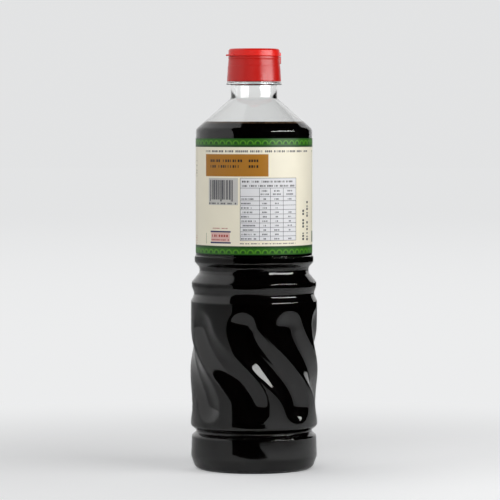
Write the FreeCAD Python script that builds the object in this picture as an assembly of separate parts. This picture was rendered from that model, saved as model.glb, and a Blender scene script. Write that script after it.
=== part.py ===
# One-litre bottle of soy sauce: a clear blown bottle, the sauce in it up to the fill
# level, a label wrapped round it, and a shut flip-top cap in two pieces.
# Millimetres, +Z up. The origin is at the middle of the foot, on the ground, and the
# barcode side of the label faces -Y. Every piece is turned about Z, apart from the
# eight twisted flutes of the grip and the cap's thumb tab and hinge.
import FreeCAD, Part

import math
import os

# --- the whole body -------------------------------------------------------------
body_radius = 41.2          # at the middle of the grip, the widest place
wall = 0.5                  # blown wall of the body

# --- the foot -------------------------------------------------------------------
foot_inset = 0.5            # the foot's side lies this far inside the body radius
foot_height = 21.8          # ground to the foot groove
foot_chamfer_height = 8.5   # the foot tapers in below this height
foot_taper = 2.3            # how much it tapers in
heel_height = 1.7           # height of the rounded heel under the taper
ring_inset = 5.9            # body radius to the flat ring that the bottle stands on
ring_width = 4.5
push_up_height = 10.0       # the bottom is pushed up inside the ring
push_up_flat_radius = 10.0

# --- the groove above the foot --------------------------------------------------
foot_groove_height = 6.5
foot_groove_rise = 2.9      # foot to the groove's root
foot_groove_depth = 4.0

# --- the grip and its flutes ----------------------------------------------------
grip_height = 80.3
grip_bottom_inset = 0.35    # the grip is a slight barrel
grip_top_inset = 0.55
barrel_round = 3000.0       # radius of the barrel's side
flute_count = 8
flute_width = 20.6          # across the channel
flute_depth = 3.2
flute_margin_bottom = 4.0   # plain wall left below and above the flutes
flute_margin_top = 5.7
flute_twist = 54.5          # degrees turned from the top of a flute to its bottom
flute_start = -10.5         # azimuth of a flute's top, from -Y towards +X
flute_lead = 6.7            # the turn starts and ends this far inside the flute's two ends

# --- the waists between the grip and the label ----------------------------------
lower_waist_height = 4.7    # grip top to the root of the lower waist
lower_waist_depth = 2.15
bulge_inset = 1.0
bulge_rise = 4.6            # root of the lower waist to the bulge
bulge_width = 3.0
upper_waist_inset = 6.1     # body radius to the root of the upper waist
upper_waist_hollow = 0.5    # the floor sinks this far from its two edges to the root
upper_waist_width = 4.3     # edge to edge of that floor
upper_waist_fall = 5.5      # bulge to the floor
upper_waist_rise = 3.0      # floor to the bead

# --- the label panel and the shoulder -------------------------------------------
bead_inset = 2.9
bead_width = 3.8
bead_step = 0.6
panel_inset = 3.7
panel_height = 81.1
shoulder_height = 19.9
shoulder_round = 3.6

# --- the neck -------------------------------------------------------------------
neck_radius = 14.9
neck_wall = 1.8
neck_height = 8.5           # shoulder to the support ring
support_ring_reach = 2.9    # the ring stands out from the neck by this
support_ring_height = 1.5
finish_height = 13.8        # support ring to the rim

# --- the contents and the label -------------------------------------------------
headspace = 15.4            # sauce level to the foot of the neck
label_thickness = 0.12
label_margin_bottom = 1.3   # bare panel below and above the label
label_margin_top = 5.8

# --- the cap --------------------------------------------------------------------
cap_gap = 0.6               # support ring to the skirt's lower edge
cap_clearance = 0.15        # skirt to neck, all round
cap_plate = 3.2             # thickness over the rim
cap_bottom_wall = 2.2       # skirt's wall at its lower edge
cap_top_wall = 1.55         # and at its top
cap_ledge_height = 10.0     # a fine ledge runs round the skirt at this height
cap_ledge_step = 0.12
cap_edge_round = 0.4
cap_ledge_round = 0.1
cap_collar_height = 2.3     # plain collar that the lid closes on
lid_height = 4.7
lid_inset = 0.05            # the lid lies this far inside the skirt's top
lid_round = 1.0
seam_bevel = 0.3            # bevels that draw the seam between lid and collar
tab_azimuth = -68.0         # thumb tab, from -Y towards +X
tab_width = 9.0
tab_reach = 1.3
tab_thickness = 1.1
hinge_width = 9.0
hinge_reach = 0.5
hinge_height = 5.0

# --- heights worked out from the sizes above ------------------------------------
z_grip = foot_height + foot_groove_height
z_grip_top = z_grip + grip_height
z_lower_waist = z_grip_top + lower_waist_height
z_bulge = z_lower_waist + bulge_rise
z_upper_waist = z_bulge + bulge_width + upper_waist_fall
z_bead = z_upper_waist + upper_waist_width + upper_waist_rise
z_panel = z_bead + bead_width + bead_step
z_shoulder = z_panel + panel_height
z_neck = z_shoulder + shoulder_height
z_support = z_neck + neck_height
z_finish = z_support + support_ring_height
z_rim = z_finish + finish_height
z_level = z_neck - headspace
z_cap = z_finish + cap_gap
z_lid = z_rim + cap_plate

# --- radii worked out from the sizes above --------------------------------------
foot_radius = body_radius - foot_inset
panel_radius = body_radius - panel_inset
support_ring_radius = neck_radius + support_ring_reach
socket_radius = neck_radius + cap_clearance
cap_bottom_radius = socket_radius + cap_bottom_wall
cap_top_radius = socket_radius + cap_top_wall
lid_radius = cap_top_radius - lid_inset

UP = FreeCAD.Vector(0, 0, 1)
CENTRE = FreeCAD.Vector(0, 0, 0)


def polar(radius, azimuth, height):
    """A point from its radius, its azimuth in degrees from -Y towards +X, and its height."""
    turn = math.radians(azimuth)
    return FreeCAD.Vector(radius * math.sin(turn), -radius * math.cos(turn), height)


def body_corners():
    """The body's outline from the middle of the bottom to the neck: (radius, height, round)."""
    grip_middle = z_grip + grip_height / 2
    grip_top_radius = body_radius - grip_top_inset
    bulge_radius = body_radius - bulge_inset
    upper_waist_radius = body_radius - upper_waist_inset
    bead_radius = body_radius - bead_inset
    ring_outer_radius = body_radius - ring_inset
    return [
        (0, push_up_height, 0),
        (push_up_flat_radius, push_up_height, 8.0),
        (ring_outer_radius - ring_width, 0, 1.5),
        (ring_outer_radius, 0, 2.0),
        (foot_radius - foot_taper, heel_height, 3.0),
        (foot_radius, foot_chamfer_height, 12.0),
        (foot_radius, foot_height, 1.7),
        (foot_radius - foot_groove_depth, foot_height + foot_groove_rise, 1.2),
        (body_radius - grip_bottom_inset, z_grip, 2.0),
        (body_radius, grip_middle, barrel_round),
        (grip_top_radius, z_grip_top, 5.0),
        (grip_top_radius - lower_waist_depth, z_lower_waist, 4.0),
        (bulge_radius, z_bulge, 3.5),
        (bulge_radius, z_bulge + bulge_width, 2.6),
        (upper_waist_radius + upper_waist_hollow, z_upper_waist, 2.2),
        (upper_waist_radius, z_upper_waist + upper_waist_width / 2, 3.0),
        (upper_waist_radius + upper_waist_hollow, z_upper_waist + upper_waist_width, 2.2),
        (bead_radius, z_bead, 1.6),
        (bead_radius, z_bead + bead_width, 0.5),
        (panel_radius, z_panel, 0.5),
        (panel_radius, z_shoulder, shoulder_round),
        (neck_radius, z_neck, 1.6),
        (neck_radius, z_support, 0),
    ]


def inset_corners(corners, insets):
    """The same outline moved inwards, each straight run by its own inset."""
    lines = []
    for (r0, z0, _), (r1, z1, _), inset in zip(corners, corners[1:], insets):
        length = math.hypot(r1 - r0, z1 - z0)
        along = ((r1 - r0) / length, (z1 - z0) / length)
        lines.append(((r0 - along[1] * inset, z0 + along[0] * inset), along))
    moved = [(corners[0][0], corners[0][1] + insets[0], 0)]
    for corner, (start, along), (other, heading) in zip(corners[1:], lines, lines[1:]):
        turn = along[0] * heading[1] - along[1] * heading[0]
        reach = ((other[0] - start[0]) * heading[1] - (other[1] - start[1]) * heading[0]) / turn
        # the round grows on the outside of a bend and shrinks on its inside
        rounding = max(corner[2] - math.copysign(wall, turn), 0)
        moved.append((start[0] + along[0] * reach, start[1] + along[1] * reach, rounding))
    moved.append((corners[-1][0] - insets[-1], corners[-1][1], 0))
    return moved


def rounded_edges(corners):
    """Edges through the corners, each corner rounded by an arc as large as its runs allow."""
    points = [FreeCAD.Vector(radius, 0, height) for radius, height, _ in corners]
    edges = []
    pen = points[0]
    for before, corner, after, (_, _, rounding) in zip(points, points[1:], points[2:], corners[1:]):
        back = (before - corner).normalize()
        ahead = (after - corner).normalize()
        half_angle = back.getAngle(ahead) / 2
        room = 0.49 * min((before - corner).Length, (after - corner).Length)
        cut = min(rounding / math.tan(half_angle), room)
        radius = cut * math.tan(half_angle)
        if radius > 0.05:
            bisector = (back + ahead).normalize()
            middle = corner + bisector * (radius / math.sin(half_angle) - radius)
            start = corner + back * cut
            end = corner + ahead * cut
            edges.append(Part.LineSegment(pen, start).toShape())
            edges.append(Part.Arc(start, middle, end).toShape())
            pen = end
        else:
            edges.append(Part.LineSegment(pen, corner).toShape())
            pen = corner
    edges.append(Part.LineSegment(pen, points[-1]).toShape())
    return edges


def turned(corners):
    """A solid of revolution about Z: the outline closed along the axis and turned round."""
    top = corners[-1][1]
    closing = [
        Part.LineSegment(FreeCAD.Vector(corners[-1][0], 0, top), FreeCAD.Vector(0, 0, top)).toShape(),
        Part.LineSegment(FreeCAD.Vector(0, 0, top), FreeCAD.Vector(0, 0, corners[0][1])).toShape(),
    ]
    face = Part.Face(Part.Wire(rounded_edges(corners) + closing))
    return face.revolve(CENTRE, UP, 360)


def disc(radius, low, high):
    """A plain cylinder on the axis."""
    return Part.makeCylinder(radius, high - low, FreeCAD.Vector(0, 0, low))


def flute(surface_radius, azimuth):
    """What one flute takes out of a wall of this radius: a channel with a hollow floor.

    It goes straight down from its rounded top, swings round the body and ends straight
    again at its rounded bottom. Each level section is an arc over a wide back.
    """
    low = z_grip + flute_margin_bottom
    high = z_grip_top - flute_margin_top
    turn_high = high - flute_lead
    turn_length = turn_high - (low + flute_lead)
    half_width = flute_width / 2
    end_middle = (high - low) / 2 - half_width
    overshoot = 1.15                # the channel runs out of the wall past its ends
    side = 1.2                      # and past its edges
    section_count = 19
    back_radius = surface_radius + 4 * flute_depth
    sections = []
    for index in range(section_count):
        share = 2 * index / (section_count - 1) - 1
        from_middle = share * (end_middle + overshoot * half_width)
        height = (low + high) / 2 + from_middle
        fallen = min(max((turn_high - height) / turn_length, 0), 1)
        centre = azimuth + flute_twist * fallen ** 2 * (3 - 2 * fallen)
        slope = math.radians(flute_twist) * 6 * fallen * (1 - fallen) / turn_length
        slant = math.atan(surface_radius * slope)
        spread = side * math.degrees(half_width / math.cos(slant) / surface_radius)
        past_end = max((abs(from_middle) - end_middle) / half_width, 0)
        floor = surface_radius - flute_depth * (1 - past_end ** 2)
        edge = floor + flute_depth * side ** 2
        left = polar(edge, centre - spread, height)
        right = polar(edge, centre + spread, height)
        back_left = polar(back_radius, centre - spread, height)
        back_right = polar(back_radius, centre + spread, height)
        sections.append(Part.Wire([
            Part.Arc(left, polar(floor, centre, height), right).toShape(),
            Part.LineSegment(right, back_right).toShape(),
            Part.LineSegment(back_right, back_left).toShape(),
            Part.LineSegment(back_left, left).toShape(),
        ]))
    return Part.makeLoft(sections, True)


def fluted(solid, surface_radius):
    """The solid with its ring of flutes cut in."""
    first = flute(surface_radius, flute_start)
    cutters = []
    for index in range(flute_count):
        copy = first.copy()
        copy.rotate(CENTRE, UP, index * 360 / flute_count)
        cutters.append(copy)
    return solid.cut(cutters)


def make_cavity():
    """The space inside the body, up to the support ring."""
    corners = body_corners()
    runs = len(corners) - 1
    insets = [wall] * (runs - 1) + [neck_wall]
    return fluted(turned(inset_corners(corners, insets)), body_radius - wall)


def make_bottle(cavity):
    """The blown body with its neck, support ring and plain rim, hollow inside."""
    bore_radius = neck_radius - neck_wall
    body = fluted(turned(body_corners()), body_radius)
    finish = disc(neck_radius, z_support, z_rim)
    ring = disc(support_ring_radius, z_support, z_finish)
    ring_edges = [edge for edge in ring.Edges if edge.Closed]
    ring = ring.makeFillet(support_ring_height / 3, ring_edges)
    bore = disc(bore_radius, z_support, z_rim)
    return body.fuse([finish, ring]).cut(cavity).cut(bore).removeSplitter()


def make_sauce(cavity):
    """The sauce: the cavity up to the fill level."""
    return cavity.common(disc(2 * body_radius, 0, z_level))


def make_label():
    """The label: a thin sleeve on the panel."""
    low = z_panel + label_margin_bottom
    high = z_shoulder - label_margin_top
    return disc(panel_radius + label_thickness, low, high).cut(disc(panel_radius, low, high))


def side_block(azimuth, inner, outer, width, low, high):
    """An upright block that points out along an azimuth, centred on it."""
    block = Part.makeBox(width, outer - inner, high - low, FreeCAD.Vector(-width / 2, -outer, low))
    block.rotate(CENTRE, UP, azimuth)
    return block


def make_cap():
    """The cap's skirt and collar, with a socket for the neck and the hinge's lower lug."""
    z_ledge = z_cap + cap_ledge_height
    z_collar = z_lid - cap_collar_height
    taper = (cap_bottom_radius - cap_top_radius) / (z_collar - z_cap)
    ledge_radius = cap_bottom_radius - taper * cap_ledge_height
    corners = [
        (0, z_cap, 0),
        (cap_bottom_radius, z_cap, cap_edge_round),
        (ledge_radius, z_ledge, cap_ledge_round),
        (ledge_radius - cap_ledge_step, z_ledge + cap_ledge_step, cap_ledge_round),
        (cap_top_radius - cap_ledge_step, z_collar, 0),
        (cap_top_radius - cap_ledge_step - seam_bevel, z_collar + seam_bevel, 0),
        (lid_radius, z_collar + 2 * seam_bevel, 0),
        (lid_radius, z_lid - seam_bevel, 0),
        (lid_radius - seam_bevel, z_lid, 0),
    ]
    skirt = turned(corners)
    socket = disc(socket_radius, z_cap, z_rim)
    lug = side_block(tab_azimuth + 180, lid_radius / 2, lid_radius + hinge_reach,
                     hinge_width, z_lid - hinge_height, z_lid)
    return skirt.fuse(lug.cut(disc(lid_radius / 2, z_cap, z_lid))).cut(socket).removeSplitter()


def make_cap_lid():
    """The lid that flips up: a low disc with a thumb tab, and the hinge's upper lug."""
    corners = [
        (0, z_lid, 0),
        (lid_radius - seam_bevel, z_lid, 0),
        (lid_radius, z_lid + seam_bevel, 0),
        (lid_radius - seam_bevel, z_lid + lid_height, lid_round),
        (lid_radius / 2, z_lid + lid_height, 0),
    ]
    lid = turned(corners)
    tab = side_block(tab_azimuth, lid_radius / 2, lid_radius + tab_reach,
                     tab_width, z_lid, z_lid + tab_thickness)
    lug = side_block(tab_azimuth + 180, lid_radius / 2, lid_radius + hinge_reach,
                     hinge_width, z_lid, z_lid + lid_height / 2)
    return lid.fuse([tab, lug]).removeSplitter()


def write(shape, node):
    """One STEP file for one node, which is a single closed solid."""
    solids = shape.Solids
    if len(solids) != 1 or not shape.isValid():
        raise ValueError("%s: %d solids, valid %s" % (node, len(solids), shape.isValid()))
    solids[0].exportStep("parts/%s.step" % node)
    print("%-10s volume %9.0f mm3" % (node, solids[0].Volume))


os.makedirs("parts", exist_ok=True)
cavity = make_cavity()
write(make_bottle(cavity), "bottle")
write(make_sauce(cavity), "soy_sauce")
write(make_label(), "label")
write(make_cap(), "cap")
write(make_cap_lid(), "cap_lid")
print("overall height %.1f mm, sauce level %.1f mm" % (z_lid + lid_height, z_level))
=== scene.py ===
import math
import random

import bmesh
import bpy
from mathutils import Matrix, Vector


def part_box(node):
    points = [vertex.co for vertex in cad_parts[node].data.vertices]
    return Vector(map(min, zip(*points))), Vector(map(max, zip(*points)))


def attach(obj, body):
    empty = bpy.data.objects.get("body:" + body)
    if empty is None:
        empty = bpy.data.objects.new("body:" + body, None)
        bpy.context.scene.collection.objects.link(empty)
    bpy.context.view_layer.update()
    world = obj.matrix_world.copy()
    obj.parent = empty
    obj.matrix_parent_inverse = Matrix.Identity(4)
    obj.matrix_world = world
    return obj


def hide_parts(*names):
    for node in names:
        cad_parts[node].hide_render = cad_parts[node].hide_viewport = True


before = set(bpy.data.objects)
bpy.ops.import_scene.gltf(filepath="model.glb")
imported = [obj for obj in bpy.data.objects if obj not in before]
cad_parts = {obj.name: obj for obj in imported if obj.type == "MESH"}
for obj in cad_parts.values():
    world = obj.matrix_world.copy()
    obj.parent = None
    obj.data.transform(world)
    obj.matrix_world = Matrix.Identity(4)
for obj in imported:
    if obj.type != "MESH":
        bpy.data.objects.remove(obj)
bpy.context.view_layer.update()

MM = 0.001
_, bottle_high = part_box("bottle")
_, sauce_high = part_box("soy_sauce")
label_low, label_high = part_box("label")
cap_low, cap_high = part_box("cap")
lid_low, lid_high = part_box("cap_lid")

# --- the body's outline -----------------------------------------------------------
label_thickness = 0.12
panel_radius = label_high.x / MM - label_thickness
body_radius = panel_radius + 3.7
wall = 0.5
foot_radius = body_radius - 0.5
foot_top_radius = foot_radius - 0.45    # the foot's wall leans in a little
foot_height = 21.8
foot_chamfer_height = 8.5
foot_taper = 2.3
heel_height = 1.7
ring_radius = body_radius - 5.9         # the flat ring that the bottle stands on
ring_width = 4.5
push_up_height = 10.0
push_up_flat_radius = 10.0
foot_groove_depth = 4.0
foot_groove_rise = 2.9
z_grip = foot_height + 6.5
grip_height = 80.3
z_grip_top = z_grip + grip_height
grip_bottom_radius = body_radius - 0.35
grip_top_radius = body_radius - 0.55
barrel_round = 3000.0
lower_waist_radius = grip_top_radius - 2.15
z_lower_waist = z_grip_top + 4.7
bulge_radius = body_radius - 1.0
z_bulge = z_lower_waist + 4.6
bulge_width = 3.0
upper_waist_radius = body_radius - 6.1
upper_waist_hollow = 0.5
upper_waist_width = 4.3
z_upper_waist = z_bulge + bulge_width + 5.5
bead_radius = body_radius - 2.9
z_bead = z_upper_waist + upper_waist_width + 3.0
bead_width = 3.8
z_panel = z_bead + bead_width + 0.6
z_shoulder = z_panel + 81.1
shoulder_round = 3.6
neck_radius = 14.9
neck_wall = 1.8
z_neck = z_shoulder + 19.9
z_support = z_neck + 8.5
support_ring_radius = neck_radius + 2.9
support_ring_height = 1.5
z_rim = bottle_high.z / MM

# --- the eight flutes of the grip ---------------------------------------------------
flute_count = 8
flute_width = 20.6
flute_depth = 3.2
flute_low = z_grip + 4.0
flute_high = z_grip_top - 5.7
flute_start = -10.5                     # azimuth of a flute's top
flute_twist = 54.5                      # degrees from its top to its bottom
flute_turn_high = flute_high - 6.7      # the turn lies between these two heights
flute_turn_low = flute_low + 6.7
flute_lip = 0.05                        # softness of a flute's edge
flute_valley = 0.8                      # roundness of its floor between two flat walls

# --- how finely the round pieces are turned -----------------------------------------
columns = 26 * flute_count
arc_step = math.radians(10)
grip_step = 1.1
plain_step = 6.0

# --- the sauce ------------------------------------------------------------------------
sauce_inset = wall / 2                  # the sauce reaches this far into the wall
z_level = sauce_high.z / MM
meniscus_height = 0.3
meniscus_steps = (0.35, 0.0), (0.45, 0.5), (0.8, 0.35), (1.6, 0.05)     # inwards, and down

# --- the label ------------------------------------------------------------------------
label_radius = label_high.x / MM
label_inner_radius = panel_radius
z_label = label_low.z / MM
label_height = (label_high.z - label_low.z) / MM
label_length = 2 * math.pi * label_radius
band_height = 5.6
band_border = 1.4                       # dark border on the side of the cream ground
band_edge = 0.5                         # dark line along the label's own edge
scallop_count = 50
print_lift = 0.02                       # each layer of print stands out by this
ink_thickness = 0.03
sheet_step = 1.2                        # print is divided this finely before it is wrapped

# --- the cap --------------------------------------------------------------------------
cap_bottom_radius = cap_high.x / MM
z_cap = cap_low.z / MM
z_lid = lid_low.z / MM
z_top = lid_high.z / MM
cap_top_radius = 16.6
collar_radius = 16.55
collar_height = 2.3
ledge_height = 10.0
ledge_step = 0.12
socket_radius = neck_radius + 0.15
seam_gap = 0.22
seam_depth = 0.7
tab_azimuth = -68.0
tab_width = 9.0
tab_reach = 1.3
tab_thickness = 1.1
hinge_width = 9.0
hinge_reach = 0.5
hinge_height = 5.0

draw = random.Random(7)


# --- modelling by operators -------------------------------------------------------------
def choose(*pieces):
    """Selects these pieces alone, the first as the active one."""
    bpy.ops.object.select_all(action="DESELECT")
    for piece in pieces:
        piece.select_set(True)
    bpy.context.view_layer.objects.active = pieces[0]


def edit(piece):
    choose(piece)
    bpy.ops.object.mode_set(mode="EDIT")
    bpy.ops.mesh.select_mode(type="VERT")
    bpy.ops.mesh.select_all(action="SELECT")


def leave_edit():
    bpy.ops.object.mode_set(mode="OBJECT")


def pick(piece, wanted, kind="VERT"):
    """In edit mode, selects the vertices or faces whose place passes the test."""
    bpy.ops.mesh.select_mode(type=kind)
    bpy.ops.mesh.select_all(action="DESELECT")
    mesh = bmesh.from_edit_mesh(piece.data)
    for item in mesh.verts if kind == "VERT" else mesh.faces:
        place = item.co if kind == "VERT" else item.calc_center_median()
        if wanted(place / MM):
            item.select_set(True)
    mesh.select_flush_mode()
    bmesh.update_edit_mesh(piece.data)


def apply_modifier(piece, kind, **settings):
    """Adds a modifier with these settings and applies it."""
    choose(piece)
    modifier = piece.modifiers.new(kind.title(), kind)
    for setting, value in settings.items():
        setattr(modifier, setting, value)
    bpy.ops.object.modifier_apply(modifier=modifier.name)


def settle(piece, material, smooth=30):
    """A finished piece: its place goes into its mesh, and it gets its finish and its body."""
    choose(piece)
    bpy.ops.object.transform_apply(location=True, rotation=True, scale=True)
    bpy.ops.object.shade_smooth_by_angle(angle=math.radians(smooth))
    apply_modifier(piece, "WEIGHTED_NORMAL", weight=50, keep_sharp=True)
    if not piece.data.materials:
        piece.data.materials.append(material)
    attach(piece, "root")
    return piece


def rounded(corners, longest):
    """Points along (radius, height, round) corners: rounds as arcs, long runs divided.

    longest(height) is the longest step allowed at a height.
    """
    places = [Vector(corner[:2]) for corner in corners]
    path = [places[0]]

    def run_to(end):
        start = path[-1]
        pieces = max(1, math.ceil((end - start).length / longest((start.y + end.y) / 2)))
        path.extend(start.lerp(end, step / pieces) for step in range(1, pieces + 1))

    for before, corner, after, spec in zip(places, places[1:], places[2:], corners[1:]):
        back = (before - corner).normalized()
        ahead = (after - corner).normalized()
        half_angle = back.angle(ahead) / 2
        room = 0.49 * min((before - corner).length, (after - corner).length)
        cut = min(spec[2] / math.tan(half_angle), room)
        radius = cut * math.tan(half_angle)
        run_to(corner + back * cut)
        if radius > 0.05:
            centre = corner + (back + ahead).normalized() * radius / math.sin(half_angle)
            first = corner + back * cut - centre
            last = corner + ahead * cut - centre
            turn = first.angle(last)
            steps = max(math.ceil(turn / arc_step), math.ceil(turn * radius / longest(corner.y)))
            for step in range(1, steps + 1):
                share = step / steps
                weights = math.sin((1 - share) * turn), math.sin(share * turn)
                path.append(centre + (first * weights[0] + last * weights[1]) / math.sin(turn))
    run_to(places[-1])
    return [(point.x, point.y) for point in path]


def turned(name, outline):
    """The outline drawn point by point in the XZ plane and spun round the axis."""
    start_radius, start_height = outline[0]
    bpy.ops.object.select_all(action="DESELECT")
    bpy.ops.mesh.primitive_plane_add(size=MM, location=(start_radius * MM, 0, start_height * MM))
    piece = bpy.context.object
    piece.name = name
    piece.data.name = name
    edit(piece)
    bpy.ops.mesh.merge(type="CENTER")
    for here, there in zip(outline, outline[1:]):
        step = ((there[0] - here[0]) * MM, 0, (there[1] - here[1]) * MM)
        bpy.ops.mesh.extrude_region_move(TRANSFORM_OT_translate={"value": step})
    bpy.ops.mesh.select_all(action="SELECT")
    bpy.ops.mesh.spin(steps=columns, angle=2 * math.pi, center=(0, 0, 0), axis=(0, 0, 1))
    bpy.ops.mesh.select_all(action="SELECT")
    bpy.ops.mesh.remove_doubles(threshold=0.001 * MM)
    bpy.ops.mesh.normals_make_consistent(inside=False)
    leave_edit()
    choose(piece)
    bpy.ops.object.transform_apply(location=True, rotation=False, scale=False)
    return piece


# --- shader node groups -------------------------------------------------------------------
def node_group(name, inputs, outputs):
    """An empty group with its named sockets: (name, kind, default)."""
    group = bpy.data.node_groups.new(name, "ShaderNodeTree")
    for socket, kind, default in inputs:
        made = group.interface.new_socket(socket, in_out="INPUT", socket_type=kind)
        made.default_value = default
    for socket, kind in outputs:
        group.interface.new_socket(socket, in_out="OUTPUT", socket_type=kind)
    return group, group.nodes.new("NodeGroupInput"), group.nodes.new("NodeGroupOutput")


def make_uneven_group():
    """A soft mask between Low and High, uneven over the object."""
    group, entry, leave = node_group(
        "uneven",
        [("Scale", "NodeSocketFloat", 60.0), ("Low", "NodeSocketFloat", 0.0),
         ("High", "NodeSocketFloat", 1.0)],
        [("Mask", "NodeSocketFloat")])
    place = group.nodes.new("ShaderNodeTexCoord")
    noise = group.nodes.new("ShaderNodeTexNoise")
    noise.inputs["Detail"].default_value = 4
    spread = group.nodes.new("ShaderNodeMapRange")
    spread.inputs["From Min"].default_value = 0.3
    spread.inputs["From Max"].default_value = 0.7
    link = group.links.new
    link(place.outputs["Object"], noise.inputs["Vector"])
    link(entry.outputs["Scale"], noise.inputs["Scale"])
    link(noise.outputs["Fac"], spread.inputs["Value"])
    link(entry.outputs["Low"], spread.inputs["To Min"])
    link(entry.outputs["High"], spread.inputs["To Max"])
    link(spread.outputs["Result"], leave.inputs["Mask"])
    return group


def make_ripple_group():
    """A normal with a faint ripple of this size and height, in metres."""
    group, entry, leave = node_group(
        "ripple",
        [("Scale", "NodeSocketFloat", 60.0), ("Height", "NodeSocketFloat", 0.0001)],
        [("Normal", "NodeSocketVector")])
    place = group.nodes.new("ShaderNodeTexCoord")
    noise = group.nodes.new("ShaderNodeTexNoise")
    noise.inputs["Detail"].default_value = 2
    bump = group.nodes.new("ShaderNodeBump")
    link = group.links.new
    link(place.outputs["Object"], noise.inputs["Vector"])
    link(entry.outputs["Scale"], noise.inputs["Scale"])
    link(noise.outputs["Fac"], bump.inputs["Height"])
    link(entry.outputs["Height"], bump.inputs["Distance"])
    link(bump.outputs["Normal"], leave.inputs["Normal"])
    return group


UNEVEN = make_uneven_group()
RIPPLE = make_ripple_group()


def material_nodes(name):
    """A new material, its node and link makers, and its Principled shader."""
    material = bpy.data.materials.new(name)
    material.use_nodes = True
    tree = material.node_tree
    return material, tree.nodes, tree.links.new, tree.nodes["Principled BSDF"]


def use_group(nodes, group, **values):
    node = nodes.new("ShaderNodeGroup")
    node.node_tree = group
    for socket, value in values.items():
        node.inputs[socket].default_value = value
    return node


def shade_of(colour, factor):
    return (colour[0] * factor, colour[1] * factor, colour[2] * factor, 1)


def moulded(name, colour, variation, grain, rough, ripple_scale, ripple_height):
    """A finish with uneven colour and gloss and a faint ripple."""
    material, nodes, link, shader = material_nodes(name)
    tone = use_group(nodes, UNEVEN, Scale=grain)
    mix = nodes.new("ShaderNodeMix")
    mix.data_type = "RGBA"
    mix.inputs["A"].default_value = shade_of(colour, 1 - variation)
    mix.inputs["B"].default_value = shade_of(colour, 1 + variation)
    gloss = use_group(nodes, UNEVEN, Scale=2.3 * grain, Low=rough[0], High=rough[1])
    ripple = use_group(nodes, RIPPLE, Scale=ripple_scale, Height=ripple_height)
    link(tone.outputs["Mask"], mix.inputs["Factor"])
    link(mix.outputs["Result"], shader.inputs["Base Color"])
    link(gloss.outputs["Mask"], shader.inputs["Roughness"])
    link(ripple.outputs["Normal"], shader.inputs["Normal"])
    return material


def make_clear_plastic():
    """Clear blown plastic, slightly wavy."""
    material, nodes, link, shader = material_nodes("clear_plastic")
    shader.inputs["Base Color"].default_value = (0.985, 0.99, 0.985, 1)
    shader.inputs["Transmission Weight"].default_value = 1
    shader.inputs["IOR"].default_value = 1.57
    gloss = use_group(nodes, UNEVEN, Scale=35.0, Low=0.015, High=0.05)
    ripple = use_group(nodes, RIPPLE, Scale=55.0, Height=0.00006)
    link(gloss.outputs["Mask"], shader.inputs["Roughness"])
    link(ripple.outputs["Normal"], shader.inputs["Normal"])
    return material


def make_sauce_material():
    """Sauce that is black in bulk and brown where it thins out at its upper rim."""
    material, nodes, link, shader = material_nodes("dark_sauce")
    place = nodes.new("ShaderNodeTexCoord")
    split = nodes.new("ShaderNodeSeparateXYZ")
    height = nodes.new("ShaderNodeMapRange")
    height.inputs["From Min"].default_value = (z_level - 1.4) * MM
    height.inputs["From Max"].default_value = (z_level + meniscus_height) * MM
    speckle = use_group(nodes, UNEVEN, Scale=420.0, Low=0.25, High=1.0)
    amount = nodes.new("ShaderNodeMath")
    amount.operation = "MULTIPLY"
    mix = nodes.new("ShaderNodeMix")
    mix.data_type = "RGBA"
    mix.inputs["A"].default_value = (0.0008, 0.0003, 0.0002, 1)
    mix.inputs["B"].default_value = (0.30, 0.19, 0.11, 1)
    link(place.outputs["Object"], split.inputs["Vector"])
    link(split.outputs["Z"], height.inputs["Value"])
    link(height.outputs["Result"], amount.inputs[0])
    link(speckle.outputs["Mask"], amount.inputs[1])
    link(amount.outputs["Value"], mix.inputs["Factor"])
    link(mix.outputs["Result"], shader.inputs["Base Color"])
    shader.inputs["Roughness"].default_value = 0.3
    shader.inputs["Specular IOR Level"].default_value = 0.01
    return material


def film(name, colour):
    """Satin printed film in one ink."""
    return moulded(name, colour, 0.03, 45.0, (0.34, 0.44), 900.0, 0.000004)


def cap_plastic(name, colour):
    """The cap's moulded plastic in one colour, glossier than the film."""
    return moulded(name, colour, 0.04, 40.0, (0.26, 0.36), 700.0, 0.000006)


# --- the bottle and its contents ---------------------------------------------------------
def body_corners():
    """The body's outline from the middle of the bottom to the neck: (radius, height, round)."""
    waist_edge = upper_waist_radius + upper_waist_hollow
    return [
        (0, push_up_height, 0),
        (push_up_flat_radius, push_up_height, 8.0),
        (ring_radius - ring_width, 0, 1.5),
        (ring_radius, 0, 2.0),
        (foot_radius - foot_taper, heel_height, 3.0),
        (foot_radius, foot_chamfer_height, 6.0),
        (foot_top_radius, foot_height, 1.7),
        (foot_radius - foot_groove_depth, foot_height + foot_groove_rise, 1.2),
        (grip_bottom_radius, z_grip, 2.0),
        (body_radius, z_grip + grip_height / 2, barrel_round),
        (grip_top_radius, z_grip_top, 2.5),
        (lower_waist_radius, z_lower_waist, 4.0),
        (bulge_radius, z_bulge, 3.5),
        (bulge_radius, z_bulge + bulge_width, 1.6),
        (waist_edge, z_upper_waist, 2.2),
        (upper_waist_radius, z_upper_waist + upper_waist_width / 2, 3.0),
        (waist_edge, z_upper_waist + upper_waist_width, 2.2),
        (bead_radius, z_bead, 1.6),
        (bead_radius, z_bead + bead_width, 0.5),
        (panel_radius, z_panel, 0.5),
        (panel_radius, z_shoulder, shoulder_round),
        (neck_radius, z_neck, 1.6),
    ]


def finish_corners():
    """On from the neck: the support ring, the rim and the bore down to the body."""
    return [
        (neck_radius, z_support, 0.3),
        (support_ring_radius, z_support, 0.5),
        (support_ring_radius, z_support + support_ring_height, 0.5),
        (neck_radius, z_support + support_ring_height, 0.3),
        (neck_radius, z_rim, 0.4),
        (neck_radius - neck_wall, z_rim, 0.4),
        (neck_radius - neck_wall, z_neck + 0.8, 0),
    ]


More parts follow.
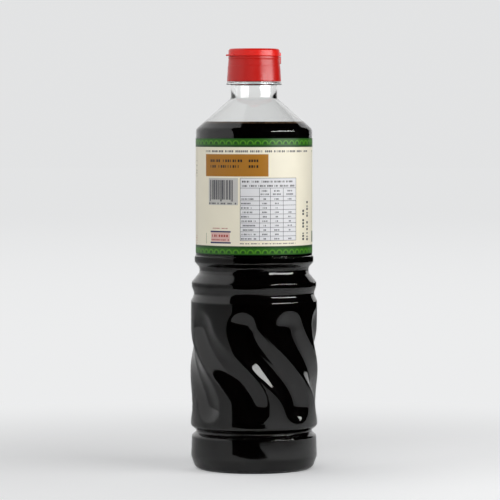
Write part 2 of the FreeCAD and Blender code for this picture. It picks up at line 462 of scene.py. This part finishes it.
def fallen(height):
    """How much of its turn a flute has made at a height, and its slant there."""
    length = flute_turn_high - flute_turn_low
    share = min(max((flute_turn_high - height) / length, 0), 1)
    slope = math.radians(flute_twist) * 6 * share * (1 - share) / length
    return share ** 2 * (3 - 2 * share), math.atan(body_radius * slope)


def flute_ramp(share):
    """The rise from a flute's floor to its edge: two flat walls with a rounded floor."""
    rise = math.hypot(share, flute_valley) - flute_valley
    return rise / (math.hypot(1, flute_valley) - flute_valley)


def flute_weight(place):
    """How deep a flute is at a place on the grip, from 0 at its edge to 1 at its middle."""
    height = place.z
    turned_share, slant = fallen(height)
    azimuth = math.degrees(math.atan2(place.x, -place.y))
    pitch = 360 / flute_count
    aside = (azimuth - flute_start - flute_twist * turned_share + pitch / 2) % pitch - pitch / 2
    across = math.radians(aside) * body_radius * math.cos(slant) / (flute_width / 2)
    half_run = (flute_high - flute_low) / 2
    from_middle = abs(height - (flute_high + flute_low) / 2)
    past_end = max((from_middle - half_run) / (flute_width / 2) + 1, 0)
    depth = 1 - flute_ramp(math.hypot(across, past_end))
    return (depth + math.sqrt(depth ** 2 + flute_lip ** 2)) / 2


def twist_rings(piece):
    """Turns each ring below the turn's start, so that the mesh's columns follow the flutes."""
    rings = {}
    for vertex in piece.data.vertices:
        if vertex.co.z < flute_turn_high * MM:
            rings.setdefault(round(vertex.co.z / MM, 3), []).append(vertex.index)
    edit(piece)
    for height, ring in rings.items():
        bpy.ops.mesh.select_all(action="DESELECT")
        mesh = bmesh.from_edit_mesh(piece.data)
        mesh.verts.ensure_lookup_table()
        for index in ring:
            mesh.verts[index].select_set(True)
        # with no window the operator turns the other way round
        turn = -math.radians(flute_twist) * fallen(height)[0]
        bpy.ops.transform.rotate(value=turn, orient_axis="Z", center_override=(0, 0, 0))
    leave_edit()


def press_flutes(piece):
    """Presses the flutes into the grip, by their depth at each vertex."""
    group = piece.vertex_groups.new(name="flutes")
    for vertex in piece.data.vertices:
        place = vertex.co / MM
        if z_grip + 1.5 < place.z < z_grip_top - 1.5:
            group.add([vertex.index], flute_weight(place), "REPLACE")
    apply_modifier(piece, "DISPLACE", vertex_group="flutes", direction="NORMAL",
                   mid_level=0, strength=-flute_depth * MM)


def make_skin():
    """The bottle's outside, from the middle of its bottom over the rim and down the bore."""
    def longest(height):
        return grip_step if z_grip < height < z_grip_top else plain_step
    outline = rounded(body_corners() + finish_corners(), longest)
    skin = turned("bottle_clear", outline)
    twist_rings(skin)
    press_flutes(skin)
    return skin


def make_sauce(skin, material):
    """The sauce: a copy of the skin cut at the level and drawn a little inwards."""
    sauce = skin.copy()
    sauce.data = skin.data.copy()
    sauce.name = "sauce_fill"
    bpy.context.collection.objects.link(sauce)
    edit(sauce)
    bpy.ops.mesh.bisect(plane_co=(0, 0, (z_level + meniscus_height) * MM),
                        plane_no=(0, 0, 1), clear_outer=True, use_fill=False)
    bpy.ops.mesh.select_all(action="SELECT")
    bpy.ops.transform.shrink_fatten(value=-sauce_inset * MM, use_even_offset=True)
    bpy.ops.mesh.select_all(action="DESELECT")
    bpy.ops.mesh.select_non_manifold()
    bpy.ops.mesh.edge_face_add()
    for width, drop in meniscus_steps:
        bpy.ops.mesh.inset(thickness=width * MM)
        bpy.ops.transform.translate(value=(0, 0, -drop * MM))
    leave_edit()
    sauce.vertex_groups.clear()
    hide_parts("soy_sauce")
    return settle(sauce, material, 60)


def make_bottle(skin, material):
    """The skin with an inner wall: its body copied, drawn inwards and joined to the bore."""
    edit(skin)
    pick(skin, lambda place: place.z < z_neck - 1.2, "FACE")
    bpy.ops.mesh.duplicate()
    bpy.ops.transform.shrink_fatten(value=-wall * MM, use_even_offset=True)
    bpy.ops.mesh.flip_normals()
    bpy.ops.mesh.select_mode(type="VERT")
    bpy.ops.mesh.select_all(action="DESELECT")
    bpy.ops.mesh.select_non_manifold()
    bpy.ops.mesh.bridge_edge_loops()
    leave_edit()
    skin.vertex_groups.clear()
    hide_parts("bottle")
    return settle(skin, material, 60)


# --- the label ------------------------------------------------------------------------------
def make_sleeve(cream, green, dark_green):
    """The label's sleeve, with a green band and its dark border at each end."""
    top = z_label + label_height
    steps = [0, band_edge, band_height - band_border, band_height]
    heights = [z_label + step for step in steps] + [top - step for step in reversed(steps)]
    outline = [(label_inner_radius, z_label)]
    outline += [(label_radius, height) for height in heights]
    outline += [(label_inner_radius, top), (label_inner_radius, z_label)]
    sleeve = turned("label_sleeve", outline)
    for material in (cream, green, dark_green):
        sleeve.data.materials.append(material)
    for face in sleeve.data.polygons:
        from_end = min(face.center.z / MM - z_label, top - face.center.z / MM)
        if from_end < band_height:
            plain = band_edge < from_end < band_height - band_border
            face.material_index = 1 if plain else 2
    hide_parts("label")
    return settle(sleeve, cream, 20)


def sheet(left, low, width, height, across=None, up=1):
    """A flat patch of print, divided along its length, by its place on the flat label."""
    across = across or max(1, round(width / sheet_step))
    bpy.ops.object.select_all(action="DESELECT")
    bpy.ops.mesh.primitive_grid_add(x_subdivisions=across, y_subdivisions=up, size=MM,
                                    rotation=(math.pi / 2, 0, 0))
    patch = bpy.context.object
    bpy.ops.transform.resize(value=(width, 1, height))
    bpy.ops.transform.translate(value=((left + width / 2) * MM, 0, (low + height / 2) * MM))
    bpy.ops.object.transform_apply(location=True, rotation=True, scale=True)
    return patch


def keep_cells(patch, left, low, width, height, across, up, kept):
    """Deletes the cells of a divided patch that aren't in the kept set of (column, row)."""
    edit(patch)

    def unwanted(place):
        column = int((place.x - left) / width * across)
        row = int((place.z - low) / height * up)
        return (column, row) not in kept

    pick(patch, unwanted, "FACE")
    bpy.ops.mesh.delete(type="FACE")
    leave_edit()
    return patch


BLOCK = (0, 0), (0, 1), (1, 0), (1, 1)
TICK = (0, 0), (0, 1)
STROKES = BLOCK, BLOCK, TICK            # a block is drawn twice as often as a tick


def strokes_row(left, low, width, height, count, upright=False, words=(3, 8)):
    """A row of short strokes, set as words, where small print would stand.

    It runs to the right, or upwards if upright.
    """
    kept = set()
    word = draw.randint(*words)
    for index in range(count):
        word -= 1
        if word < 0:
            word = draw.randint(*words)
            continue
        for column, row in draw.choice(STROKES):
            along = 3 * index + column
            kept.add((2 - row, along) if upright else (along, row))
    across, up = (3, 3 * count) if upright else (3 * count, 3)
    patch = sheet(left, low, width, height, across, up)
    return keep_cells(patch, left, low, width, height, across, up, kept)


def barcode(left, low, width, height, modules=58):
    """Upright bars of uneven widths, the outer and middle ones a little longer."""
    kept = set()
    column = 0
    while column < modules:
        bar = draw.choice((1, 1, 2, 3))
        long_bar = column < 3 or column > modules - 6 or abs(column - modules / 2) < 2
        for place in range(column, min(column + bar, modules)):
            kept.update({(place, row) for row in range(0 if long_bar else 1, 12)})
        column += bar + draw.choice((1, 1, 2))
    patch = sheet(left, low, width, height, modules, 12)
    return keep_cells(patch, left, low, width, height, modules, 12, kept)


def disc_sheet(along, up, radius_x, radius_z, hole=0.0, half=False):
    """A flat round or oval patch, with a hole in its middle or as an upper half."""
    bpy.ops.object.select_all(action="DESELECT")
    bpy.ops.mesh.primitive_circle_add(vertices=32, radius=MM, fill_type="TRIFAN",
                                      rotation=(math.pi / 2, 0, 0))
    patch = bpy.context.object
    bpy.ops.transform.resize(value=(radius_x, 1, radius_z))
    bpy.ops.object.transform_apply(location=True, rotation=True, scale=True)
    edit(patch)
    bpy.ops.mesh.dissolve_faces()
    if hole:
        bpy.ops.mesh.inset(thickness=(radius_x - hole) * MM)
        bpy.ops.mesh.delete(type="FACE")
        bpy.ops.mesh.select_all(action="SELECT")
    if half:
        bpy.ops.mesh.bisect(plane_co=(0, 0, 0), plane_no=(0, 0, -1), clear_outer=True)
    slices = round(2 * radius_x / sheet_step)
    for index in range(1, slices):
        cut = (2 * index / slices - 1) * radius_x * MM
        bpy.ops.mesh.select_all(action="SELECT")
        bpy.ops.mesh.bisect(plane_co=(cut, 0, 0), plane_no=(1, 0, 0))
    bpy.ops.mesh.select_all(action="SELECT")
    bpy.ops.transform.translate(value=(along * MM, 0, up * MM))
    leave_edit()
    return patch


def wrap(name, patches, material, layer=1, azimuth=0.0):
    """Joins flat patches, gives them their thickness and wraps them round the label."""
    choose(*patches)
    if len(patches) > 1:
        bpy.ops.object.join()
    piece = bpy.context.object
    piece.name = name
    piece.data.name = name
    edit(piece)
    bpy.ops.mesh.remove_doubles(threshold=0.001 * MM)
    leave_edit()
    apply_modifier(piece, "SOLIDIFY", thickness=ink_thickness * MM, offset=-1)
    places = [vertex.co.x for vertex in piece.data.vertices]
    radius = label_radius + layer * print_lift
    length = (max(places) - min(places)) / MM
    apply_modifier(piece, "SIMPLE_DEFORM", deform_method="BEND", deform_axis="Z",
                   angle=length / radius)
    edit(piece)
    bpy.ops.transform.translate(value=(0, -radius * MM, z_label * MM))
    if azimuth:
        # with no window the operator turns the other way round
        bpy.ops.transform.rotate(value=-math.radians(azimuth), orient_axis="Z",
                                 center_override=(0, 0, 0))
    leave_edit()
    return settle(piece, material, 20)


def copied_along(patch, count, pitch):
    """The patch repeated along the flat label, the row centred on its middle."""
    apply_modifier(patch, "ARRAY", count=count, use_relative_offset=False,
                   use_constant_offset=True, constant_offset_displace=(pitch * MM, 0, 0))
    edit(patch)
    bpy.ops.transform.translate(value=(-(count - 1) / 2 * pitch * MM, 0, 0))
    leave_edit()
    return patch


def make_bands(light_green, dark_green):
    """A row of scallops along each band: light arches with a dark seed in each."""
    pitch = label_length / scallop_count
    lower = band_edge + 0.35
    upper = label_height - band_height + band_border + 0.35
    arches = []
    seeds = []
    for up in (lower, upper):
        arch = disc_sheet(0, up, pitch * 0.46, pitch * 0.56, hole=pitch * 0.33, half=True)
        arches.append(copied_along(arch, scallop_count, pitch))
        seed = disc_sheet(0, up + 0.9, pitch * 0.17, pitch * 0.15)
        seeds.append(copied_along(seed, scallop_count, pitch))
    wrap("band_arches", arches, light_green, 1)
    wrap("band_seeds", seeds, dark_green, 1)


# places on the flat label: (left, low, width, height), from its front line and lower edge
patch_place = (-35.8, 49.8, 45.0, 14.1)
table_place = (-9.0, 9.2, 38.7, 39.7)
table_columns = (3.4, 10.5, 19.4)
table_header = 42.5
table_titles = 37.2
table_rows = 10
line = 0.24


def make_date_patch(amber, ink):
    """The amber patch with two rows of printed marks."""
    left, low, width, height = patch_place
    wrap("date_patch", [sheet(left, low, width, height)], amber, 1)
    rows = []
    for up in (height - 5.0, height - 8.6):
        rows.append(strokes_row(left + 4.7, low + up, 24.0, 2.5, 14, words=(3, 9)))
        rows.append(strokes_row(left + 32.4, low + up, 6.6, 2.5, 4, words=(9, 9)))
    wrap("date_marks", rows, ink, 2)


def make_table(white, ink):
    """The table: a white ground, its lines, a bold heading and rows of small marks."""
    left, low, width, height = table_place
    wrap("table_ground", [sheet(left, low, width, height)], white, 1)
    row_height = (table_titles - low) / table_rows
    levels = [low + index * row_height for index in range(table_rows + 1)]
    lines = [sheet(left, up - line / 2, width, line) for up in levels + [table_header]]
    lines.append(sheet(left, low + height - line, width, line))
    for along in table_columns:
        lines.append(sheet(along - line / 2, low, line, table_header - low))
    for along in (left, left + width - line):
        lines.append(sheet(along, low, line, height))
    wrap("table_lines", lines, ink["grey"], 2)

    heading = [
        strokes_row(left + 1.3, table_header + 3.5, width - 3.2, 1.7, 34),
        strokes_row(left + 1.3, table_header + 0.8, width - 2.6, 1.7, 38),
    ]
    wrap("table_heading", heading, ink["black"], 2)

    marks = []
    cells = list(zip(table_columns, table_columns[1:] + (left + width,)))
    for start, end in cells:
        middle = (start + end) / 2
        for up, reach in ((table_titles + 3.0, 2.0), (table_titles + 0.9, 2.8)):
            marks.append(strokes_row(middle - reach, up, 2 * reach, 1.4, round(reach * 2.2)))
    for index, up in enumerate(levels[:-1]):
        indent = 1.8 if index in (2, 3, 6) else 0.7
        letters = draw.randint(7, 11)
        marks.append(strokes_row(left + indent, up + 0.65, letters * 0.9, 1.4, letters,
                                 words=(6, 9)))
        for column, (start, end) in enumerate(cells):
            if column == 2 and index in (1, 7, 8):
                continue
            letters = draw.randint(2, 4)
            middle = (start + end) / 2
            marks.append(strokes_row(middle - letters * 0.45, up + 0.65, letters * 0.9, 1.4,
                                     letters, words=(5, 9)))
    marks.append(strokes_row(left, 6.9, width, 1.0, 44))
    wrap("table_marks", marks, ink["grey"], 2)


def make_small_print(ink):
    """The barcode, the rows of small print and the fine rules."""
    wrap("barcode_ground", [sheet(-32.8, 31.6, 22.4, 17.2)], ink["pale"], 1)
    wrap("barcode_bars", [barcode(-31.7, 33.9, 17.8, 13.6)], ink["grey"], 2)
    wrap("barcode_marks", [strokes_row(-32.6, 32.1, 21.4, 1.5, 17, words=(1, 6))], ink["grey"], 2)
    wrap("top_row", [strokes_row(-35.8, 65.1, 50.0, 1.9, 42, words=(3, 8)),
                     strokes_row(14.8, 65.1, 27.6, 1.9, 23, words=(3, 8))], ink["grey"], 1)
    upright = [
        strokes_row(40.3, 8.7, 2.9, 25.8, 12, upright=True, words=(3, 7)),
        strokes_row(35.2, 9.0, 2.8, 20.0, 10, upright=True, words=(2, 5)),
    ]
    wrap("upright_rows", upright, ink["black"], 1)
    side = [
        sheet(52.1, 8.5, 0.32, 57.4),
        sheet(51.4, 65.3, 1.6, 0.9),
        sheet(-35.4, 6.9, 0.22, 6.8),
    ]
    wrap("fine_rules", side, ink["green"], 1)
    wrap("side_block", [sheet(51.2, 7.4, 6.2, 7.0)], ink["olive"], 1)
    wrap("left_marks", [strokes_row(-51.6, 49.5, 1.4, 13.0, 8, upright=True, words=(1, 3))],
         ink["grey"], 1)


def make_stamp(ink):
    """The small stamp: two navy bars with rows of red marks between them."""
    left, width = -31.1, 15.8
    wrap("stamp_ground", [sheet(left + 0.6, 8.4, width - 1.2, 5.7)], ink["pink"], 1)
    wrap("stamp_bars", [sheet(left, 14.2, width, 0.95), sheet(left, 7.2, width, 0.95)],
         ink["navy"], 1)
    rows = [
        strokes_row(left + 1.3, 11.3, width - 2.6, 2.2, 7, words=(9, 9)),
        strokes_row(left + 0.9, 9.1, width - 1.8, 1.1, 12, words=(9, 12)),
        strokes_row(left + 2.0, 16.5, width - 4.0, 0.8, 14, words=(5, 9)),
        strokes_row(-51.6, 6.0, 1.3, 7.0, 4, upright=True, words=(4, 4)),
    ]
    wrap("stamp_marks", rows, ink["red"], 2)


def make_front_panel(ink):
    """The side turned away: a plain oval with three beans, and two bars under it."""
    wrap("front_oval", [disc_sheet(0, 43.0, 21.0, 17.5)], ink["green"], 1, 180)
    wrap("front_ring", [disc_sheet(0, 43.0, 19.6, 16.1, hole=19.0)], ink["pale"], 2, 180)
    places = ((-8.4, 40.5), (0.0, 43.2), (8.4, 45.9))
    beans = [disc_sheet(along, up, 4.6, 3.9) for along, up in places]
    wrap("front_beans", beans, ink["amber"], 2, 180)
    bars = [sheet(-22.0, 14.5, 44.0, 5.6), sheet(-15.0, 10.6, 30.0, 2.0)]
    wrap("front_bars", bars, ink["red"], 1, 180)


def make_label():
    """The sleeve and all that is printed on it."""
    ink = {
        "black": film("ink_black", (0.012, 0.011, 0.012)),
        "grey": film("ink_grey", (0.055, 0.055, 0.07)),
        "white": film("ink_white", (0.80, 0.80, 0.82)),
        "pale": film("ink_pale", (0.60, 0.59, 0.56)),
        "amber": film("ink_amber", (0.42, 0.175, 0.012)),
        "green": film("ink_green", (0.020, 0.135, 0.002)),
        "light_green": film("ink_light_green", (0.09, 0.30, 0.016)),
        "dark_green": film("ink_dark_green", (0.008, 0.06, 0.006)),
        "olive": film("ink_olive", (0.16, 0.20, 0.13)),
        "navy": film("ink_navy", (0.025, 0.012, 0.10)),
        "pink": film("ink_pink", (0.78, 0.50, 0.46)),
        "red": film("ink_red", (0.42, 0.04, 0.03)),
    }
    cream = film("film_cream", (0.92, 0.865, 0.70))
    make_sleeve(cream, ink["green"], ink["dark_green"])
    make_bands(ink["light_green"], ink["dark_green"])
    make_date_patch(ink["amber"], ink["black"])
    make_table(ink["white"], ink)
    make_small_print(ink)
    make_stamp(ink)
    make_front_panel(ink)


# --- the cap --------------------------------------------------------------------------------
def lug(azimuth, inner, outer, width, low, high):
    """An upright rounded block that points out along an azimuth."""
    bpy.ops.object.select_all(action="DESELECT")
    bpy.ops.mesh.primitive_cube_add(size=MM, location=(0, -(inner + outer) / 2 * MM,
                                                       (low + high) / 2 * MM))
    block = bpy.context.object
    bpy.ops.transform.resize(value=(width, outer - inner, high - low))
    bpy.ops.object.transform_apply(location=True, rotation=True, scale=True)
    apply_modifier(block, "BEVEL", width=0.3 * MM, segments=3)
    edit(block)
    # with no window the operator turns the other way round
    bpy.ops.transform.rotate(value=-math.radians(azimuth), orient_axis="Z",
                             center_override=(0, 0, 0))
    leave_edit()
    return block


def unite(piece, *others):
    for other in others:
        apply_modifier(piece, "BOOLEAN", object=other, operation="UNION", solver="EXACT")
        bpy.data.objects.remove(other)


def cap_outline():
    """The skirt with its ledge and collar, hollow under its top: (radius, height, round)."""
    z_ledge = z_cap + ledge_height
    z_collar = z_lid - collar_height
    taper = (cap_bottom_radius - cap_top_radius) / (z_collar - z_cap)
    ledge_radius = cap_bottom_radius - taper * ledge_height
    return [
        (0, z_lid, 0),
        (collar_radius - seam_depth, z_lid, 0.1),
        (collar_radius - seam_depth, z_lid - seam_gap, 0.1),
        (collar_radius, z_lid - seam_gap, 0.2),
        (collar_radius, z_collar + 0.55, 0.15),
        (collar_radius - 0.35, z_collar + 0.3, 0.1),
        (cap_top_radius - ledge_step, z_collar, 0.2),
        (ledge_radius - ledge_step, z_ledge + ledge_step, 0.05),
        (ledge_radius, z_ledge, 0.1),
        (cap_bottom_radius, z_cap + 0.25, 0.4),
        (cap_bottom_radius - 0.5, z_cap, 0.2),
        (socket_radius, z_cap, 0.2),
        (socket_radius, z_rim, 0.3),
        (0, z_rim, 0),
    ]


def make_cap(material):
    """The cap's skirt and collar with the hinge's lower lug."""
    cap = turned("cap_skirt", rounded(cap_outline(), lambda height: plain_step))
    hinge = lug(tab_azimuth + 180, socket_radius + 0.6, collar_radius + hinge_reach,
                hinge_width, z_lid - hinge_height, z_lid - seam_gap)
    unite(cap, hinge)
    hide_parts("cap")
    return settle(cap, material, 35)


def make_lid(material):
    """The lid with its thumb tab and the hinge's upper lug."""
    outline = rounded([
        (0, z_lid, 0),
        (collar_radius - 0.15, z_lid, 0.15),
        (collar_radius, z_lid + 0.3, 0.2),
        (collar_radius - 0.1, z_top - 1.0, 0.3),
        (collar_radius - 0.9, z_top, 0.8),
        (collar_radius - 2.2, z_top, 0.3),
        (collar_radius - 2.6, z_top - 0.3, 0.3),
        (0, z_top - 0.3, 0),
    ], lambda height: plain_step)
    lid = turned("cap_lid_shut", outline)
    tab = lug(tab_azimuth, collar_radius - 2.5, collar_radius + tab_reach, tab_width,
              z_lid + 0.02, z_lid + tab_thickness)
    hinge = lug(tab_azimuth + 180, collar_radius - 2.5, collar_radius + hinge_reach,
                hinge_width, z_lid + 0.02, z_lid + (z_top - z_lid) / 2)
    unite(lid, tab, hinge)
    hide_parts("cap_lid")
    return settle(lid, material, 35)


# --- the stage, in metres -------------------------------------------------------------------
background = (0.765, 0.77, 0.775)
bright_side = 0.82
dark_side = 0.0015
bright_edge = math.radians(-40)         # azimuth where the bright wall ends in front
bright_lean = -0.25                     # how far its edge leans away overhead
floor_colour = (0.86, 0.865, 0.87, 1)
floor_glow = (0.225, 0.227, 0.23, 1)    # added to the floor where the camera sees it
floor_fade = 0.06, 0.5                  # distances between which it fades into the far tones,
far_tones = (0.84, 0.845, 0.85, 1), (0.77, 0.775, 0.78, 1)
far_reach = 1.0, 6.0                    # the second of which takes over between these
dark_zone_start = -0.225, -0.240        # depths between which the floor turns dark in gloss
dark_zone_left = 0.006, 0.026           # the zone's slanted left edge,
dark_zone_slant = 0.84                  # which goes this far left per metre to the front,
dark_zone_right = 0.115, 0.095          # and its right edge,
dark_zone_widens = -0.55, -0.75         # which ends between these depths
dark_far_right = 0.65, 0.8              # past these the floor is dark in gloss all along
camera_place = -0.0026, -2.003, 0.2218
camera_tilt = math.radians(2.305)       # downwards
camera_lens = 223.6
camera_sensor = 36
softbox = {"azimuth": 60, "distance": 0.42, "up": 0.2935, "size": (0.44, 0.117), "radiance": 8.0}
fill = {"azimuth": -15, "distance": 1.2, "up": 0.70, "size": (1.0, 1.0), "radiance": 1.9}


def mapped(nodes, link, source, start, end):
    """A smooth step of a value, from 0 at start to 1 at end."""
    step = nodes.new("ShaderNodeMapRange")
    step.interpolation_type = "SMOOTHSTEP"
    step.inputs["From Min"].default_value = start
    step.inputs["From Max"].default_value = end
    link(source, step.inputs["Value"])
    return step.outputs["Result"]


def combined(nodes, link, operation, first, second):
    """Two values, or a value and a number, put together by a Math node."""
    node = nodes.new("ShaderNodeMath")
    node.operation = operation
    for socket, item in zip(node.inputs, (first, second)):
        if isinstance(item, (int, float)):
            socket.default_value = item
        else:
            link(item, socket)
    return node.outputs["Value"]


def along_direction(nodes, link, source, direction):
    """How far a vector reaches along a direction."""
    node = nodes.new("ShaderNodeVectorMath")
    node.operation = "DOT_PRODUCT"
    node.inputs[1].default_value = direction
    link(source, node.inputs[0])
    return node.outputs["Value"]


def make_world():
    """A bright wall on the left and behind, a dark one in front and on the right.

    What the camera sees, straight or through the clear neck, is the pale background.
    """
    world = bpy.data.worlds.new("studio")
    bpy.context.scene.world = world
    world.use_nodes = True
    nodes = world.node_tree.nodes
    link = world.node_tree.links.new
    shader = nodes["Background"]
    place = nodes.new("ShaderNodeTexCoord")
    left = along_direction(nodes, link, place.outputs["Generated"],
                           (-math.cos(bright_edge), -math.sin(bright_edge), bright_lean))
    bright = mapped(nodes, link, left, 0.0, 0.05)
    wall_tone = nodes.new("ShaderNodeMix")
    wall_tone.data_type = "RGBA"
    wall_tone.inputs["A"].default_value = (dark_side, dark_side, dark_side, 1)
    wall_tone.inputs["B"].default_value = (bright_side, bright_side, bright_side, 1)
    link(bright, wall_tone.inputs["Factor"])
    rays = nodes.new("ShaderNodeLightPath")
    seen = combined(nodes, link, "MAXIMUM", rays.outputs["Is Camera Ray"],
                    rays.outputs["Is Transmission Ray"])
    tone = nodes.new("ShaderNodeMix")
    tone.data_type = "RGBA"
    tone.inputs["B"].default_value = (*background, 1)
    link(seen, tone.inputs["Factor"])
    link(wall_tone.outputs["Result"], tone.inputs["A"])
    link(tone.outputs["Result"], shader.inputs["Color"])


def make_floor_material():
    """A pale matt floor that fades into the background, dark in front for reflections."""
    material, nodes, link, shader = material_nodes("pale_floor")
    nodes.remove(shader)
    place = nodes.new("ShaderNodeTexCoord")
    split = nodes.new("ShaderNodeSeparateXYZ")
    link(place.outputs["Object"], split.inputs["Vector"])
    across, depth = split.outputs["X"], split.outputs["Y"]
    rays = nodes.new("ShaderNodeLightPath")

    matt = nodes.new("ShaderNodeBsdfDiffuse")
    matt.inputs["Color"].default_value = floor_colour
    far = nodes.new("ShaderNodeEmission")
    far_tone = nodes.new("ShaderNodeMix")
    far_tone.data_type = "RGBA"
    far_tone.inputs["A"].default_value, far_tone.inputs["B"].default_value = far_tones
    glow = nodes.new("ShaderNodeEmission")
    glow.inputs["Color"].default_value = floor_glow
    dark = nodes.new("ShaderNodeEmission")
    dark.inputs["Color"].default_value = (dark_side, dark_side, dark_side, 1)

    distance = nodes.new("ShaderNodeVectorMath")
    distance.operation = "LENGTH"
    link(place.outputs["Object"], distance.inputs[0])
    away = mapped(nodes, link, distance.outputs["Value"], *floor_fade)
    link(mapped(nodes, link, distance.outputs["Value"], *far_reach), far_tone.inputs["Factor"])
    link(far_tone.outputs["Result"], far.inputs["Color"])
    seen = combined(nodes, link, "MAXIMUM", rays.outputs["Is Camera Ray"],
                    rays.outputs["Is Transmission Ray"])
    fade = combined(nodes, link, "MULTIPLY", away, seen)

    ahead = mapped(nodes, link, depth, *dark_zone_start)
    slanted = combined(nodes, link, "SUBTRACT", across,
                       combined(nodes, link, "MULTIPLY", depth, dark_zone_slant))
    right_of_left_edge = mapped(nodes, link, slanted, *dark_zone_left)
    left_of_right_edge = mapped(nodes, link, across, *dark_zone_right)
    far_ahead = mapped(nodes, link, depth, *dark_zone_widens)
    narrow = combined(nodes, link, "MAXIMUM", left_of_right_edge, far_ahead)
    zone = combined(nodes, link, "MULTIPLY", ahead,
                    combined(nodes, link, "MULTIPLY", right_of_left_edge, narrow))
    far_right = mapped(nodes, link, across, *dark_far_right)
    shaded = combined(nodes, link, "MULTIPLY", rays.outputs["Is Glossy Ray"],
                      combined(nodes, link, "MAXIMUM", zone, far_right))

    link(seen, glow.inputs["Strength"])
    lit = nodes.new("ShaderNodeAddShader")
    link(matt.outputs["BSDF"], lit.inputs[0])
    link(glow.outputs["Emission"], lit.inputs[1])
    faded = nodes.new("ShaderNodeMixShader")
    link(fade, faded.inputs["Fac"])
    link(lit.outputs["Shader"], faded.inputs[1])
    link(far.outputs["Emission"], faded.inputs[2])
    whole = nodes.new("ShaderNodeMixShader")
    link(shaded, whole.inputs["Fac"])
    link(faded.outputs["Shader"], whole.inputs[1])
    link(dark.outputs["Emission"], whole.inputs[2])
    link(whole.outputs["Shader"], nodes["Material Output"].inputs["Surface"])
    return material


def make_floor():
    """A wide pale floor."""
    bpy.ops.object.select_all(action="DESELECT")
    bpy.ops.mesh.primitive_circle_add(vertices=96, radius=14, fill_type="NGON")
    floor = bpy.context.object
    floor.name = "floor"
    floor.data.materials.append(make_floor_material())


def make_lamp(name, azimuth, distance, up, size, radiance, mirrored=True):
    """A soft lamp that faces the bottle's axis; gloss shows it only if mirrored."""
    width, height = size
    turn = math.radians(azimuth)
    data = bpy.data.lights.new(name, "AREA")
    data.shape = "RECTANGLE"
    data.size = width
    data.size_y = height
    data.energy = radiance * math.pi * width * height
    lamp = bpy.data.objects.new(name, data)
    lamp.location = (distance * math.sin(turn), -distance * math.cos(turn), up)
    lamp.rotation_euler = (math.radians(90), 0, turn)
    lamp.visible_camera = False
    lamp.visible_glossy = mirrored
    lamp.visible_transmission = mirrored
    bpy.context.collection.objects.link(lamp)


def make_camera():
    """A long lens two metres away, level with the sauce and tilted slightly down."""
    data = bpy.data.cameras.new("camera")
    data.lens = camera_lens
    data.sensor_width = camera_sensor
    camera = bpy.data.objects.new("camera", data)
    camera.location = camera_place
    camera.rotation_euler = (math.radians(90) - camera_tilt, 0, 0)
    bpy.context.collection.objects.link(camera)
    bpy.context.scene.camera = camera


make_camera()
bpy.ops.object.select_all(action="DESELECT")
skin = make_skin()
make_sauce(skin, make_sauce_material())
make_bottle(skin, make_clear_plastic())
make_label()
# One red plastic in two copies: the skirt's red is darkened as painted shade, the lid's red is
# lightened as painted light.
skirt_red_painted_shade = cap_plastic("skirt_red_painted_shade", (0.60, 0.008, 0.004))
lid_red_painted_light = cap_plastic("lid_red_painted_light", (0.88, 0.014, 0.007))
make_cap(skirt_red_painted_shade)
make_lid(lid_red_painted_light)
make_floor()
make_lamp("softbox", **softbox)
make_lamp("fill", **fill, mirrored=False)
make_world()
bpy.context.scene.view_settings.view_transform = "Standard"
